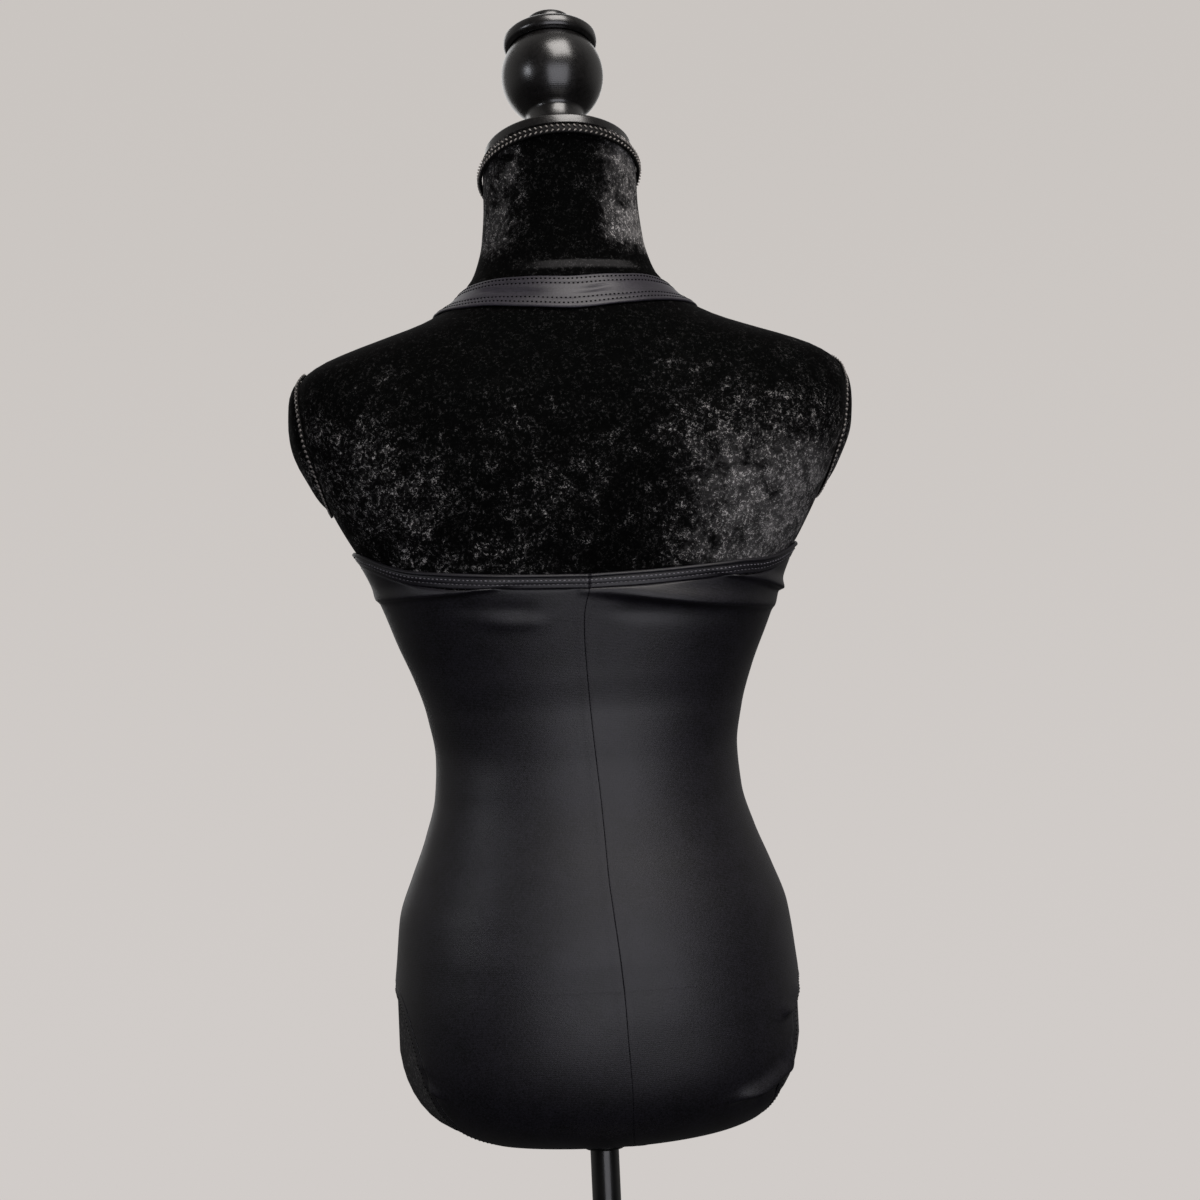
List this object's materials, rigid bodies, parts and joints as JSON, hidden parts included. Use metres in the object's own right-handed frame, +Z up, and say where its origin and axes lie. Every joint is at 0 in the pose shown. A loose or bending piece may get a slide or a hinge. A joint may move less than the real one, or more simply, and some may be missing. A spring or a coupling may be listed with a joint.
{
  "type": "dance leotard on a dress form",
  "caption": "Stretch halter leotard with a low open back, worn by a velvet-covered limbless dress form with a turned finial, on a pole with a round weighted foot.",
  "frame": {"origin": "centre of the stand foot's underside, on the floor", "axes": "+Z up along the pole. The garment's front faces -Y and its open back +Y, so the wearer's left is +X"},
  "size_m": [0.4342, 0.34, 1.3278],
  "materials": {
    "leotard_knit": "matte-satin nylon and elastane knit",
    "form_velvet": "crushed velvet glued over the form",
    "form_braid": "braided cord trim",
    "black_lacquer": "turned wood in gloss black lacquer",
    "black_steel": "gloss black paint"
  },
  "bodies": {
    "root": {"form_arm_cap_left": "form_velvet", "form_arm_cap_right": "form_velvet", "form_arm_trim_left": "form_braid", "form_arm_trim_right": "form_braid", "form_body": "form_velvet", "form_finial": "black_lacquer", "form_neck_plate": "black_lacquer", "form_neck_trim": "form_braid", "leotard_arm_band_left": "leotard_knit", "leotard_arm_band_right": "leotard_knit", "leotard_back_band_left": "leotard_knit", "leotard_back_band_right": "leotard_knit", "leotard_back_left": "leotard_knit", "leotard_back_right": "leotard_knit", "leotard_front": "leotard_knit", "leotard_leg_band_left": "leotard_knit", "leotard_leg_band_right": "leotard_knit", "leotard_neck_band": "leotard_knit", "leotard_neck_strap": "leotard_knit", "stand_collar": "black_steel", "stand_foot": "black_steel", "stand_pole": "black_steel", "stand_socket": "black_steel"}
  },
  "joints": []
}
